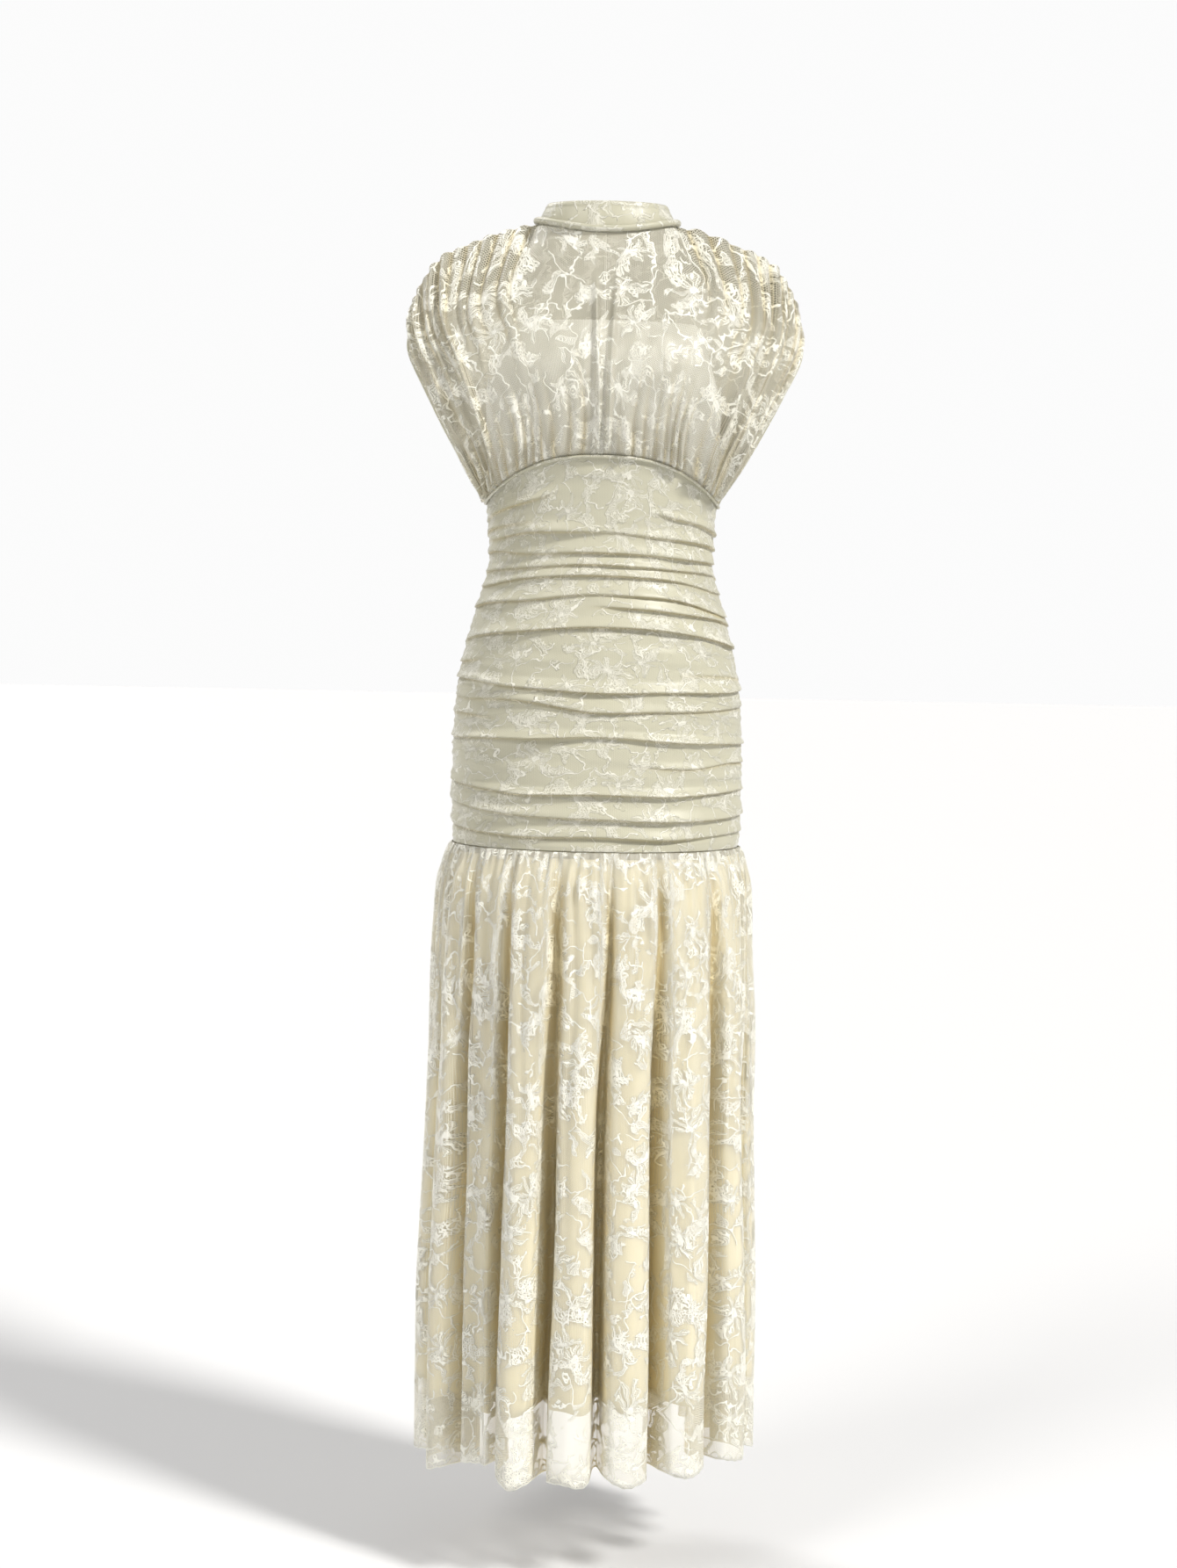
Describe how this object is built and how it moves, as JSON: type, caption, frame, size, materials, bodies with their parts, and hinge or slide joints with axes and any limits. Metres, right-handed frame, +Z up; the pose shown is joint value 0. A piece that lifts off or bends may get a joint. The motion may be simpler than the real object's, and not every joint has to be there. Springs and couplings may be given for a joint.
{
  "type": "fishtail evening dress",
  "caption": "Floor-length sleeveless lace dress with a stand collar, gathered bodice, ruched hip panel and gathered lower skirt.",
  "frame": {"origin": "middle of the shoulder line, where the wearer's shoulders hold the dress up", "axes": "+Z up, the front of the dress faces -Y and the wearer's left side is at +X"},
  "size_m": [0.4552, 0.3264, 1.462],
  "materials": {
    "ivory_lace": "floral net lace",
    "ivory_lining": "smooth knit",
    "zip_metal": "satin"
  },
  "bodies": {
    "dress": {"collar": "ivory_lace", "neck_piping": "ivory_lace", "bodice_front": "ivory_lace", "bodice_back_left": "ivory_lace", "bodice_back_right": "ivory_lace", "armhole_binding_left": "ivory_lace", "armhole_binding_right": "ivory_lace", "bust_lining_front": "ivory_lining", "bust_lining_back_left": "ivory_lining", "bust_lining_back_right": "ivory_lining", "underbust_piping": "ivory_lace", "hip_front": "ivory_lace", "hip_back_left": "ivory_lace", "hip_back_right": "ivory_lace", "skirt_front": "ivory_lace", "skirt_back": "ivory_lace", "skirt_lining_front": "ivory_lining", "skirt_lining_back": "ivory_lining", "zip_slider": "zip_metal"},
    "zip_pull": {"zip_pull": "zip_metal"}
  },
  "joints": [
    {"name": "pull_swing", "type": "hinge", "parent": "dress", "child": "zip_pull", "pos_m": [0, 0.07364, -0.00874], "axis": [1, 0, 0], "range_deg": [0, 150]}
  ]
}
